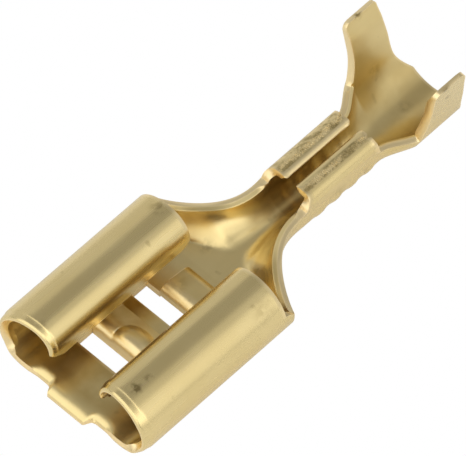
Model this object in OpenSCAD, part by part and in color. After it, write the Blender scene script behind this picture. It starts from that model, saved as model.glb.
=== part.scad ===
// Female spade terminal for a 6.3 x 0.8 mm tab, uninsulated, open barrel.
// One piece of brass sheet, stamped flat, then rolled and folded.
// Millimetres. X runs from the mouth to the wire end, Z is up.
// The origin is the middle of the footprint, on the underside.

/* [Sheet] */
// Thickness of the brass sheet
sheet_t = 0.36; // [0.3:0.01:0.42]

/* [Receptacle] */
// Length of the two curls, mouth to rear edge
curl_len = 7.52; // [6.5:0.01:8.5]
// Width over both curls
receptacle_w = 7.66; // [7.3:0.01:8]
// Outer radius of the lower outside bend
bend_low_r = 1.36; // [1.2:0.01:1.5]
// Outer radius of the upper outside bend
bend_high_r = 1.54; // [1.45:0.01:1.7]
// Nearly flat top between the bends
top_flat = 0.1; // [0.05:0.01:0.2]
// Outer radius of the hook at the free edge
hook_r = 1.08; // [0.9:0.01:1.15]
// Straight drop of the free edge under the hook
hook_drop = 0.36; // [0.3:0.01:0.5]
// Rounding of the corners of each free edge
edge_corner_r = 0.46; // [0.3:0.01:0.6]
// Degrees by which the front of each curl sweeps back towards its free edge
mouth_sweep = 5; // [0:0.5:8]

/* [Floor] */
// Distance of the bridge nose behind the mouth
bridge_front = 2.86; // [2.7:0.01:3]
// Length of the bridge between the windows
bridge_len = 2.05; // [1.9:0.01:2.3]
// Length of each window
window_len = 0.84; // [0.6:0.01:1]
// Width of the windows and of the bridge
window_w = 3.28; // [2.8:0.01:3.5]
// Rise of the bridge nose above the floor
bridge_rise = 0.38; // [0.3:0.01:0.42]
// Length from the bridge nose to the foot of its ramp
ramp_len = 1.48; // [1.2:0.01:1.7]
// Radius of the rounded nose of the bridge
nose_r = 0.22; // [0.1:0.01:0.3]
// Diameter of the detent dimple
dimple_d = 1.4; // [1:0.01:1.6]
// Height of the detent dimple
dimple_h = 0.18; // [0.12:0.01:0.22]
// Distance of the dimple behind the bridge nose
dimple_x = 0.42; // [0.38:0.01:0.6]
// How far the dimple is sunk into the falling ramp
dimple_sink = 0.08; // [0.05:0.01:0.1]
// Length of the tab stop behind the second window
stop_len = 1.4; // [1:0.01:1.5]
// Width of the tab stop
stop_w = 1.9; // [1.4:0.01:2.2]
// Rise of the tab stop above the floor
stop_rise = 0.34; // [0.28:0.01:0.38]
// Rise of the tab stop at its rear
stop_back = 0.2; // [0.14:0.01:0.26]
// Height of the lower edge of its bent front
stop_dip = 0.12; // [0.05:0.01:0.2]
// Rounding of its front edge
stop_edge = 0.08; // [0.05:0.01:0.12]
// Reach of the bent lip in front of the mouth
lip_reach = 0.32; // [0.2:0.01:0.4]
// Width of the bent lip
lip_w = 1.8; // [1.5:0.01:2]
// Thickness left at the front edge of the lip
lip_edge = 0.14; // [0.1:0.01:0.2]

/* [Throat] */
// Straight side behind the curls before the throat narrows
shoulder_len = 0.42; // [0.3:0.01:0.7]
// Length over which the throat narrows to the wire barrel
throat_len = 3.46; // [3:0.01:4]
// How hard the throat sweeps in, higher is sharper
sweep = 2.5; // [1.8:0.1:3]
// How much slimmer the throat is drawn in halfway
waist = 0.04; // [0:0.01:0.1]
// Extra bend radius that turns the throat's floor and walls into a bowl
bowl_swell = 0.9; // [0:0.05:1.2]
// Height of the throat rim
rim_z = 1.45; // [1.4:0.01:1.55]
// Rise of the rim towards the folded wings of the barrel
wing_rise = 0.28; // [0.15:0.01:0.3]
// Length over which the rim rises to the wings
wing_run = 2.9; // [2:0.1:3.2]
// Extra height of the rim where it meets the curls
rim_lift = 0.3; // [0.1:0.01:0.4]
// Length over which that extra height dies away
lift_run = 0.9; // [0.6:0.01:1.2]

/* [Conductor barrel] */
// Outer radius of the bottom of the barrel
barrel_r = 1.16; // [1.1:0.01:1.25]
// Length of the barrel along its foot
barrel_len = 4.1; // [3.6:0.01:4.5]
// Height of the folded barrel
barrel_h = 2.3; // [2.28:0.01:2.5]
// Outer radius of the fold at the top of each wing
fold_r = 0.54; // [0.4:0.01:0.6]
// Gap between the two folded wings
wing_gap = 0.44; // [0.3:0.01:0.6]
// Thickness of the flattened strip beside the gap
strip_t = 0.26; // [0.2:0.01:0.27]
// Slant of the front end of the folded wings
wing_slant = 0.35; // [0.2:0.01:0.5]
// Slant of their rear end
rear_slant = 0.2; // [0.16:0.01:0.4]
// Number of serration ribs
rib_count = 4; // [2:1:5]
// Spacing of the serration ribs
rib_pitch = 0.88; // [0.7:0.01:1]
// Width of a serration rib
rib_w = 0.42; // [0.2:0.01:0.5]
// Height of a serration rib
rib_h = 0.05; // [0.03:0.01:0.08]

/* [Insulation grip] */
// Length of the flare between the barrel and the grip
flare_len = 1.3; // [1:0.01:1.6]
// How late the flare opens, higher is later
flare_curve = 2; // [1.4:0.1:2.4]
// Rise of the rim along the flare
flare_rise = 0.1; // [0:0.01:0.3]
// Length of the grip along its foot
grip_len = 2.8; // [2.6:0.01:3.3]
// Outer radius of the bottom of the grip
grip_r = 1.95; // [1.7:0.01:2]
// Height of the open wings
wing_h = 4.35; // [3.8:0.01:4.8]
// Outward lean of the wings, degrees
wing_lean = 9; // [3:0.5:9]
// Setback of the upper front edge of each wing
wing_front = 0.4; // [0.2:0.01:0.5]
// Setback of the upper rear edge of each wing
wing_rear = 0.68; // [0.4:0.01:0.8]
// Corner cut at the front of each wing tip
tip_front = 0.3; // [0.1:0.01:0.4]
// Corner cut at the rear of each wing tip
tip_rear = 0.24; // [0.1:0.01:0.4]
// Height of the square heel at the rear end
heel_h = 0.4; // [0.37:0.01:0.6]

/* [Hidden] */
arc_fn = 96;
brass = [0.80, 0.68, 0.38];

half_w = receptacle_w / 2;
overall_len = lip_reach + curl_len + shoulder_len + throat_len + barrel_len + flare_len + grip_len;
curl_h = bend_low_r + bend_high_r;
hook_cy = half_w - bend_high_r - top_flat;
hook_cz = curl_h - hook_r;
edge_y = hook_cy - hook_r;
window1_x = bridge_front - window_len;
window2_x = bridge_front + bridge_len;
stop_x = window2_x + window_len;
throat_x = curl_len + shoulder_len;
barrel_x = throat_x + throat_len;
flare_x = barrel_x + barrel_len;
grip_x = flare_x + flare_len;
end_x = grip_x + grip_len;
barrel_cz = barrel_r + rib_h;
wall_top = barrel_h - fold_r;
front_rim = min(rim_z + wing_rise, wall_top);
rear_rim = min(rim_z, wall_top);
grip_rim = rear_rim + flare_rise;
// Zones overlap by lap, with the buried end drawn in by ease on both faces.
lap = 0.2;
ease = 0.012;

// ---- small helpers -------------------------------------------------------

// Stands a flat YZ section up and runs it along X from x0.
module along_x(x0, len) {
  translate([x0, 0, 0])
    rotate([90, 0, 90])
      linear_extrude(height = len)
        children();
}

// Runs a flat XZ side view across Y, centred.
module across_y(width) {
  translate([0, width / 2, 0])
    rotate([90, 0, 0])
      linear_extrude(height = width)
        children();
}

module mirror_pair() {
  children();
  mirror([1, 0, 0])
    children();
}

// Quarter of a bent strip, outer radius r, in the quadrant given by two signs.
module quarter_bend(r, sy, sz) {
  intersection() {
    difference() {
      circle(r = r, $fn = arc_fn);
      circle(r = r - sheet_t, $fn = arc_fn);
    }
    translate([sy > 0 ? 0 : -r, sz > 0 ? 0 : -r])
      square([r, r]);
  }
}

// ---- receptacle: floor and two curls -------------------------------------

// One curl in section: out, up, over and back down to the free edge.
module curl_section() {
  translate([half_w - bend_low_r, bend_low_r])
    quarter_bend(bend_low_r, 1, -1);
  translate([half_w - bend_high_r, bend_low_r])
    quarter_bend(bend_high_r, 1, 1);
  translate([hook_cy, curl_h - sheet_t])
    square([top_flat, sheet_t]);
  translate([hook_cy, hook_cz])
    quarter_bend(hook_r, -1, 1);
  translate([edge_y, hook_cz - hook_drop])
    square([sheet_t, hook_drop]);
}

module receptacle_section() {
  translate([bend_low_r - half_w, 0])
    square([receptacle_w - 2 * bend_low_r, sheet_t]);
  mirror_pair()
    curl_section();
}

// Rounds the front and rear corners of the two free edges.
module edge_corners() {
  tip_z = hook_cz - hook_drop;
  across_y(2 * (hook_cy - lap))
    difference() {
      translate([-1, tip_z - lap])
        square([curl_len + 2, edge_corner_r + lap]);
      for (x = [edge_corner_r, curl_len - edge_corner_r])
        translate([x, tip_z + edge_corner_r])
          circle(r = edge_corner_r, $fn = arc_fn);
      translate([edge_corner_r, tip_z - 1])
        square([curl_len - 2 * edge_corner_r, 2]);
    }
}

// Sweeps the front edge of each curl back, from its side wall to the hook.
module mouth_cuts() {
  wall_y = half_w - sheet_t;
  inner_y = edge_y / 2;
  sweep_x = (wall_y - inner_y) * tan(mouth_sweep);
  translate([0, 0, bend_low_r])
    linear_extrude(height = curl_h)
      for (side = [-1, 1])
        polygon([
          [-1, side * wall_y], [0, side * wall_y],
          [sweep_x, side * inner_y], [-1, side * inner_y]
        ]);
}

// Side view of the bridge: nose folded down in front, ramp to the floor behind.
module bridge_side() {
  top = sheet_t + bridge_rise;
  translate([nose_r, top - nose_r])
    circle(r = nose_r, $fn = arc_fn);
  polygon([
    [0, 0], [sheet_t, 0], [sheet_t, bridge_rise], [ramp_len, 0],
    [bridge_len, 0], [bridge_len, sheet_t], [ramp_len, sheet_t],
    [nose_r, top], [nose_r, top - nose_r], [0, top - nose_r]
  ]);
}

module bridge() {
  cap_r = (pow(dimple_d / 2, 2) + pow(dimple_h, 2)) / (2 * dimple_h);
  crown = sheet_t + bridge_rise + dimple_h - dimple_sink;
  across_y(window_w)
    translate([bridge_front, 0])
      bridge_side();
  intersection() {
    translate([bridge_front + dimple_x, 0, crown - cap_r])
      sphere(r = cap_r, $fn = arc_fn);
    translate([bridge_front, -dimple_d / 2, sheet_t / 2])
      cube([dimple_d, dimple_d, 1]);
  }
}

// Raised panel that stops the tab, pressed up from the floor.
module tab_stop() {
  top = sheet_t + stop_rise;
  foot = stop_len + lap;
  across_y(stop_w)
    translate([stop_x, 0])
      polygon([
        [0, stop_dip], [sheet_t, stop_dip], [sheet_t, stop_rise], [stop_len - sheet_t, stop_back],
        [stop_len, 0], [foot, 0], [foot, sheet_t],
        [stop_len, sheet_t + stop_back], [stop_edge, top], [0, top - stop_edge]
      ]);
}

// Lip bent down in front of the floor so that the tab finds its way in.
module lip() {
  drop = sheet_t - lip_edge;
  across_y(lip_w)
    polygon([
      [lap, 0], [lap, sheet_t], [0, sheet_t - drop / 16],
      [-lip_reach * 0.6, sheet_t - drop * 0.4], [-lip_reach, lip_edge], [-lip_reach, 0]
    ]);
}

module receptacle() {
  difference() {
    along_x(0, curl_len)
      receptacle_section();
    translate([window1_x, -window_w / 2, -1])
      cube([2 * window_len + bridge_len, window_w, 1 + 2 * sheet_t]);
    translate([stop_x - lap / 2, -stop_w / 2, -1])
      cube([stop_len + lap, stop_w, 1 + 2 * sheet_t]);
    edge_corners();
    mouth_cuts();
  }
  bridge();
  tab_stop();
  lip();
}

// ---- lofted sheet: throat and flare --------------------------------------

// Steps across half of a lofted section, from the middle to the rim.
half_n = 16;

// Point of half a section at distance d along the sheet from the middle.
// f is half the flat, r the bend radius, lean the outward lean of the wall.
function half_pt(f, r, z0, lean, d) =
  d <= f ? [d, z0] :
  let (
    a = min(90 - lean, (d - f) / r * 180 / PI),
    up = max(0, d - f - r * (90 - lean) * PI / 180)
  ) [f + r * sin(a) + up * sin(lean), z0 + r - r * cos(a) + up * cos(lean)];

// Distance along the sheet from the middle to the rim.
function half_len(f, r, z0, rim, lean) =
  f + r * (90 - lean) * PI / 180 + (rim - z0 - r + r * sin(lean)) / cos(lean);

// Whole outer section at x, from one rim to the other.
function ring(x, f, r, z0, rim, lean = 0) =
  let (len = half_len(f, r - ease, z0 + ease, rim - ease, lean)) [
    for (j = [-half_n : half_n])
      let (p = half_pt(f, r - ease, z0 + ease, lean, len * abs(j) / half_n))
        [x, sign(j) * p[0], p[1]]
  ];

function unit(v) = v / norm(v);

// Inward normal of the outer grid g at row i, column j.
function inward(g, i, j) =
  let (
    last = len(g) - 1,
    wide = len(g[0]) - 1,
    along = i == 0 || i == last ? [1, 0, 0] : g[i + 1][j] - g[i - 1][j],
    over = g[i][min(j + 1, wide)] - g[i][max(j - 1, 0)]
  ) unit(cross(along, over));

// Gives the outer grid g the thickness of the sheet.
module sheet_loft(g) {
  rows = len(g);
  cols = len(g[0]);
  thick = sheet_t - 2.5 * ease;
  outer = [for (i = [0 : rows - 1]) for (j = [0 : cols - 1]) g[i][j]];
  inner = [for (i = [0 : rows - 1]) for (j = [0 : cols - 1]) g[i][j] + thick * inward(g, i, j)];
  m = rows * cols;
  at = function (i, j) i * cols + j;
  faces = concat(
    [for (i = [0 : rows - 2]) for (j = [0 : cols - 2]) each [
      [at(i, j), at(i + 1, j), at(i + 1, j + 1)],
      [at(i, j), at(i + 1, j + 1), at(i, j + 1)],
      [m + at(i, j), m + at(i + 1, j + 1), m + at(i + 1, j)],
      [m + at(i, j), m + at(i, j + 1), m + at(i + 1, j + 1)]
    ]],
    [for (i = [0 : rows - 2]) each [
      [at(i, 0), m + at(i + 1, 0), at(i + 1, 0)],
      [at(i, 0), m + at(i, 0), m + at(i + 1, 0)],
      [at(i, cols - 1), at(i + 1, cols - 1), m + at(i + 1, cols - 1)],
      [at(i, cols - 1), m + at(i + 1, cols - 1), m + at(i, cols - 1)]
    ]],
    [for (j = [0 : cols - 2]) each [
      [at(0, j), at(0, j + 1), m + at(0, j + 1)],
      [at(0, j), m + at(0, j + 1), m + at(0, j)],
      [at(rows - 1, j), m + at(rows - 1, j + 1), at(rows - 1, j + 1)],
      [at(rows - 1, j), m + at(rows - 1, j), m + at(rows - 1, j + 1)]
    ]]
  );
  polyhedron(points = concat(outer, inner), faces = faces, convexity = 6);
}

// Half width, bend radius and rim height of the throat, u runs 0 to 1.
function throat_w(u) =
  barrel_r - waist * sin(180 * pow(u, 1.5)) + (half_w - barrel_r) * pow(1 - u, sweep);
function throat_r(u, rise) =
  let (
    w = throat_w(u),
    widest = rise < w ? (w * w + rise * rise) / (2 * rise) : w,
    swell = bowl_swell * sin(180 * min(1, 1.25 * u))
  ) min(bend_low_r + (barrel_r - bend_low_r) * u + swell, widest);
function throat_rim(x) =
  rim_z + rim_lift * pow(max(0, 1 - (x - curl_len) / lift_run), 2)
  + (front_rim - rim_z) * pow(max(0, 1 - (barrel_x - x) / wing_run), 1.3);

// Section of the throat, whose wall leans out where the bend is taller than the rim.
function throat_ring(u, x) =
  let (
    z0 = rib_h * u,
    rise = throat_rim(x) - z0,
    r = throat_r(u, rise),
    lean = rise < r ? asin(1 - rise / r) : 0
  ) ring(x, max(0, throat_w(u) - r * cos(lean)), r, z0, throat_rim(x), lean);

// Stations lie closer where the side turns in behind the curls.
throat_n = 16;

module throat() {
  f0 = half_w - bend_low_r;
  g = concat(
    [
      ring(curl_len - lap, f0, bend_low_r, 0, throat_rim(curl_len)),
      ring(curl_len, f0, bend_low_r, 0, throat_rim(curl_len)),
      ring(throat_x - 0.2, f0, bend_low_r, 0, throat_rim(throat_x - 0.2))
    ],
    [
      for (i = [0 : throat_n])
        let (u = pow(i / throat_n, 1.4), x = throat_x + u * throat_len)
          throat_ring(u, x)
    ],
    [ring(barrel_x + lap, 0, barrel_r, rib_h, front_rim)]
  );
  sheet_loft(g);
}

flare_n = 8;

module flare() {
  g = concat(
    [ring(flare_x - lap, 0, barrel_r, rib_h, rear_rim)],
    [
      for (i = [0 : flare_n])
        let (
          u = i / flare_n,
          e = pow(u, flare_curve) * (flare_curve - (flare_curve - 1) * u),
          r = barrel_r + (grip_r - barrel_r) * e
        )
          ring(flare_x + u * flare_len, 0, r, rib_h * (1 - e), rear_rim + flare_rise * e, wing_lean * e)
    ],
    [ring(grip_x + lap, 0, grip_r, 0, grip_rim, wing_lean)]
  );
  sheet_loft(g);
}

// ---- conductor barrel ----------------------------------------------------

// One side of the barrel in section: bottom, wall, fold and flattened strip.
module barrel_half() {
  translate([0, barrel_cz])
    quarter_bend(barrel_r, 1, -1);
  translate([barrel_r - sheet_t, barrel_cz])
    square([sheet_t, wall_top - barrel_cz]);
  translate([barrel_r - fold_r, wall_top])
    quarter_bend(fold_r, 1, 1);
  translate([wing_gap / 2, barrel_h - strip_t])
    square([barrel_r - fold_r - wing_gap / 2, strip_t]);
}

module barrel_section() {
  mirror_pair()
    barrel_half();
}

// Side view of what the slanted wing ends leave standing.
module barrel_side() {
  polygon([
    [barrel_x, 0], [flare_x, 0], [flare_x, rear_rim],
    [flare_x - rear_slant * 0.75, rear_rim + rear_slant], [flare_x - rear_slant, barrel_h + 1],
    [barrel_x + wing_slant, barrel_h + 1], [barrel_x + wing_slant, barrel_h],
    [barrel_x, front_rim]
  ]);
}

// One rib pressed out of the lower half of the barrel.
module rib(x) {
  translate([x, 0, barrel_cz])
    rotate([0, 90, 0])
      rotate([0, 0, -90])
        rotate_extrude(angle = 180, $fn = arc_fn)
          polygon([
            [barrel_r - sheet_t / 2, -rib_w / 2], [barrel_r, -rib_w / 2],
            [barrel_r + rib_h, -rib_w / 6], [barrel_r + rib_h, rib_w / 6],
            [barrel_r, rib_w / 2], [barrel_r - sheet_t / 2, rib_w / 2]
          ]);
}

module conductor_barrel() {
  mid = barrel_x + (barrel_len + wing_slant) / 2;
  intersection() {
    along_x(barrel_x, barrel_len)
      barrel_section();
    across_y(4 * barrel_r)
      barrel_side();
  }
  for (i = [0 : rib_count - 1])
    rib(mid + (i - (rib_count - 1) / 2) * rib_pitch);
}

// ---- insulation grip -----------------------------------------------------

module grip_section() {
  intersection() {
    translate([0, grip_r])
      difference() {
        circle(r = grip_r, $fn = arc_fn);
        circle(r = grip_r - sheet_t, $fn = arc_fn);
      }
    translate([0, grip_r])
      polygon([
        [0, 0], 3 * grip_r * [-cos(wing_lean), -sin(wing_lean)],
        [-3 * grip_r, -3 * grip_r], [3 * grip_r, -3 * grip_r],
        3 * grip_r * [cos(wing_lean), -sin(wing_lean)]
      ]);
  }
  mirror_pair()
    translate([0, grip_r])
      rotate(-wing_lean)
        translate([grip_r - sheet_t + ease / 4, -0.05])
          square([sheet_t - ease / 2, wing_h]);
}

// Side view of the two wings, both edges swept in above the rim.
module grip_side() {
  bend_h = 0.35 * wing_h;
  rear_x = end_x - wing_rear;
  front_x = grip_x + wing_front;
  polygon(concat(
    [[grip_x, 0]],
    [
      for (t = [0 : 0.2 : 1])
        [grip_x + wing_front * (1 - pow(1 - t, 2)), grip_rim + bend_h * t]
    ],
    [
      [front_x, wing_h - tip_front], [front_x + tip_front, wing_h],
      [rear_x - tip_rear, wing_h], [rear_x, wing_h - tip_rear]
    ],
    [
      for (t = [1 : -0.125 : 0])
        [end_x - wing_rear * (1 - pow(1 - t, 3)), heel_h + 1.4 * bend_h * t]
    ],
    [[end_x, 0]]
  ));
}

module insulation_grip() {
  intersection() {
    along_x(grip_x, grip_len)
      grip_section();
    across_y(6 * grip_r)
      grip_side();
  }
}

// ---- the part ------------------------------------------------------------

module terminal() {
  color(brass)
    translate([lip_reach - overall_len / 2, 0, 0]) {
      receptacle();
      throat();
      conductor_barrel();
      flare();
      insulation_grip();
    }
}

terminal();
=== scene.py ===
"""Looks of an uninsulated female spade terminal, rolled and folded from one brass sheet.

The sheet is built as one grid of stations along X and columns across the width. Each zone of the
terminal says how its columns are bent, the grid is given its thickness, its cut edges are eased,
and Geometry Nodes press the serration ribs and strike the coining marks on the folded strips.
Sizes are in millimetres until the finished mesh is scaled to metres.
"""

import sys
import logging
import math
from dataclasses import dataclass, field
from enum import Enum
from typing import Callable, Sequence

import bmesh
import bpy
from mathutils import Matrix, Vector


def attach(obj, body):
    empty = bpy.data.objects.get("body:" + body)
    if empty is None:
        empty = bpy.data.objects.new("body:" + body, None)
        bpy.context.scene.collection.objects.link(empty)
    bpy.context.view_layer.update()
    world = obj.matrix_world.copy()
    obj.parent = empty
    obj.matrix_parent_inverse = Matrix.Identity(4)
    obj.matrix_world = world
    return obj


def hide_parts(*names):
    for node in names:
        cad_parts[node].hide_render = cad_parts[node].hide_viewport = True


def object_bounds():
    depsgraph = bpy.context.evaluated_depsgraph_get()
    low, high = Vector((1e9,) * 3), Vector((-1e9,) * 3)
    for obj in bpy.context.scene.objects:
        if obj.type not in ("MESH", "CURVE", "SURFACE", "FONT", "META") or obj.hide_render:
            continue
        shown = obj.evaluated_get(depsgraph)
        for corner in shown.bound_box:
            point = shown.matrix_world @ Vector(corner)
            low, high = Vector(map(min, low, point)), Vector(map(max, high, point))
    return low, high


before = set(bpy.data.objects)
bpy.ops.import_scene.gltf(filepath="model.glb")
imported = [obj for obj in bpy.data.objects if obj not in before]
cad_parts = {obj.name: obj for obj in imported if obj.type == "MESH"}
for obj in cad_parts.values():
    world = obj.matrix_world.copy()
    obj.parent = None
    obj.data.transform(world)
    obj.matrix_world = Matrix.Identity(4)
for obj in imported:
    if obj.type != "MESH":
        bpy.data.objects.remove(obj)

CAD_BOX = [list(corner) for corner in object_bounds()]
MM = 0.001
NODE = "terminal"
BODY = "root"
log = logging.getLogger("spade_terminal")

Key = tuple
Point = tuple[float, float, float]
Colour = tuple[float, float, float]
Profile = tuple[float, float]
Source = object  # a node, one of its output sockets or a plain value
Sockets = bpy.types.bpy_prop_collection

NEAR = 1e-6
RIM_RUN = 0.17
FOLD_STEPS = 6


# ---- small mathematics ----


def clamp(value: float, low: float = 0.0, high: float = 1.0) -> float:
    """Keeps a value between two limits."""
    return max(low, min(high, value))


def mix(a: float, b: float, t: float) -> float:
    """Straight mix of a and b."""
    return a + (b - a) * t


def ease(t: float) -> float:
    """Smooth step from 0 to 1."""
    t = clamp(t)
    return t * t * (3 - 2 * t)


def grow(x: float, start: float, run: float) -> float:
    """Smooth step from 0 at start to 1 one run further on."""
    return ease((x - start) / run)


def fade(x: float, start: float, run: float) -> float:
    """Smooth step from 1 at start to 0 one run further on."""
    return 1 - ease((x - start) / run)


def spread(low: float, high: float, steps: int) -> list[float]:
    """Evenly spaced values from low to high, both ends included."""
    return [mix(low, high, i / steps) for i in range(steps + 1)]


def ladder(*runs: tuple[float, ...]) -> list[float]:
    """Rising values that hit every mark, with no step longer than the pitch there.

    Args:
        runs: Each a pitch and the marks up to which it holds. The first begins at its first mark.

    Returns:
        The rising values.
    """
    values: list[float] = []
    for pitch, *marks in runs:
        for mark in marks:
            low = values[-1] if values else mark
            steps = max(1, math.ceil((mark - low) / pitch - 1e-9))
            values += spread(low, mark, steps)[1:] if values else [mark]
    return values


# ---- the sheet ----


class Bend(Enum):
    """How a run of the sheet goes on across the width."""

    FLAT = "flat"
    ROLLED = "rolled"


@dataclass(frozen=True)
class Run:
    """One run of a section, either flat for a length or rolled round a radius by an angle."""

    kind: Bend
    size: float
    turn: float = 0.0

    @property
    def length(self) -> float:
        """Length of the run along the outer face."""
        return self.size if self.kind is Bend.FLAT else self.size * self.turn


@dataclass(frozen=True)
class Section:
    """Half of a section across the sheet, from the middle plane out to the cut edge."""

    runs: tuple[Run, ...]
    foot: float = 0.0

    @property
    def length(self) -> float:
        """Length of the half section along the outer face."""
        return sum(run.length for run in self.runs)

    def at(self, distance: float) -> tuple[float, float]:
        """Finds the outer face at a distance along the half section.

        Args:
            distance: Length along the outer face from the middle plane.

        Returns:
            Width from the middle plane and height.
        """
        y, z, heading, left = 0.0, self.foot, 0.0, distance
        for run in self.runs:
            step = min(left, run.length)
            if run.kind is Bend.FLAT:
                y += step * math.cos(heading)
                z += step * math.sin(heading)
            else:
                after = heading + step / run.size
                y += run.size * (math.sin(after) - math.sin(heading))
                z -= run.size * (math.cos(after) - math.cos(heading))
                heading = after
            left -= step
            if left <= 0:
                break
        return y, z


def flat(length: float) -> Run:
    """A flat run."""
    return Run(Bend.FLAT, length)


def rolled(radius: float, degrees: float) -> Run:
    """A rolled run with an outer radius and an angle."""
    return Run(Bend.ROLLED, radius, math.radians(degrees))


@dataclass(frozen=True)
class Marks:
    """How much wear and painted highlight, coining and painted shade the sheet has at one point,
    each 0 to 1.
    """

    # wear on battered ends, and painted highlight on folded noses and curled edges
    wear_and_highlight: float = 0.0
    coined: float = 0.0
    # painted shade: darker, browner colour laid on the inner face where shade falls in the hollows
    painted_shade: float = 0.0


@dataclass(frozen=True)
class Spot:
    """One point of the outer face. Its name is shared where two zones meet."""

    name: Key
    place: Point
    wall: float | None = None
    marks: Marks = Marks()


@dataclass(frozen=True)
class Smudge:
    """A small dark smudge on the sheet, in millimetres."""

    place: Point
    reach: float
    depth: float

    def at(self, point: Sequence[float]) -> float:
        """How dark the smudge is at a point, over 1 where it saturates."""
        return self.depth * fade(math.dist(self.place, point), 0, self.reach)


SMUDGES = (
    Smudge((0.85, -2.45, 2.89), 0.34, 1.9),
    Smudge((1.53, -2.47, 2.89), 0.22, 0.9),
    Smudge((6.73, -3.34, 2.49), 0.7, 0.35),
    Smudge((7.25, -3.1, 2.7), 0.4, 0.3),
    Smudge((7.2, 2.47, 2.89), 0.5, 0.7),
    Smudge((0.55, 1.9, 2.85), 0.3, 0.3),
    Smudge((18.19, 0.11, 0.36), 0.4, 0.5),
    Smudge((18.02, 1.53, 1.52), 0.45, 0.5),
    Smudge((8.43, 1.1, 0.35), 0.5, 0.5),
    Smudge((6.3, 0.55, 0.64), 0.5, 0.5),
    Smudge((13.1, -1.16, 1.2), 0.6, 0.35),
    Smudge((14.6, -1.16, 1.0), 0.5, 0.35),
    Smudge((12.0, 1.0, 2.1), 0.6, 0.4),
    Smudge((17.9, 2.35, 4.4), 0.32, 1.8),
    Smudge((17.75, -2.4, 4.38), 0.36, 1.8),
)


def on_sheet(x: float, j: int) -> Key:
    """Name of the sheet's point at a station and a column, the same in every zone."""
    return ("sheet", round(x, 4), j)


class SheetMesh:
    """Outer face of the sheet as named points and quads, later given its thickness."""

    def __init__(self, thickness: float) -> None:
        """Starts an empty sheet of one thickness."""
        self.thickness = thickness
        self.names: dict[Key, int] = {}
        self.points: list[Point] = []
        self.walls: list[float] = []
        self.marks: list[Marks] = []
        self.quads: list[tuple[int, int, int, int]] = []

    def point(self, spot: Spot) -> int:
        """Adds a point, or finds the one that has its name, and returns its index."""
        if spot.name not in self.names:
            self.names[spot.name] = len(self.points)
            self.points.append(spot.place)
            self.walls.append(self.thickness if spot.wall is None else spot.wall)
            self.marks.append(spot.marks)
        return self.names[spot.name]

    def lay(
        self,
        rows: Sequence[object],
        half: int,
        spot: Callable[[int, object, int], Spot],
        kept: Callable[[int, int], bool] = lambda n, j: True,
    ) -> None:
        """Adds a grid of points and the quads between them.

        Args:
            rows: What each row stands for, in order along X.
            half: Number of columns on either side of the middle one.
            spot: Gives the point of a row's number, the row and a column.
            kept: Says whether the quad after a row and a column is there.
        """
        span = range(-half, half + 1)
        grid = [[self.point(spot(n, row, j)) for j in span] for n, row in enumerate(rows)]
        for n, (row, after) in enumerate(zip(grid, grid[1:])):
            for k, j in enumerate(span[:-1]):
                if kept(n, j):
                    self.quads.append((row[k], row[k + 1], after[k + 1], after[k]))

    def thicken(self) -> bpy.types.Mesh:
        """Gives the outer face its inner face and its cut edges.

        Returns:
            A closed mesh in millimetres, with its masks on its points.
        """
        face = bpy.data.meshes.new("outer_face")
        face.from_pydata(self.points, [], self.quads)
        face.update()
        normals = [Vector(n.vector) for n in face.vertex_normals]
        bpy.data.meshes.remove(face)
        count = len(self.points)
        inner = [tuple(Vector(p) - n * w) for p, n, w in zip(self.points, normals, self.walls)]
        places = self.points + inner
        quads = self.quads + [tuple(i + count for i in reversed(q)) for q in self.quads]
        sides = dict.fromkeys(side for q in self.quads for side in zip(q, q[1:] + q[:1]))
        # cut edges, plus the wear and painted highlight of the marks
        edge = [mark.wear_and_highlight for mark in self.marks]
        for a, b in sides:
            if (b, a) not in sides:
                quads.append((b, a, a + count, b + count))
                edge[a] = edge[b] = 1.0
        solid = bpy.data.meshes.new("sheet_solid")
        solid.from_pydata(places, [], quads)
        solid.update()
        masks = {
            "edge": edge * 2,
            "inside": [0.0] * count + [1.0] * count,
            "coined": [mark.coined for mark in self.marks] * 2,
            # the painted shade goes on the inner face only
            "painted_shade": [0.0] * count + [mark.painted_shade for mark in self.marks],
            "smudge": [max(smudge.at(place) for smudge in SMUDGES) for place in places],
        }
        for label, values in masks.items():
            solid.attributes.new(label, "FLOAT", "POINT").data.foreach_set("value", values)
        return solid


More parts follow.
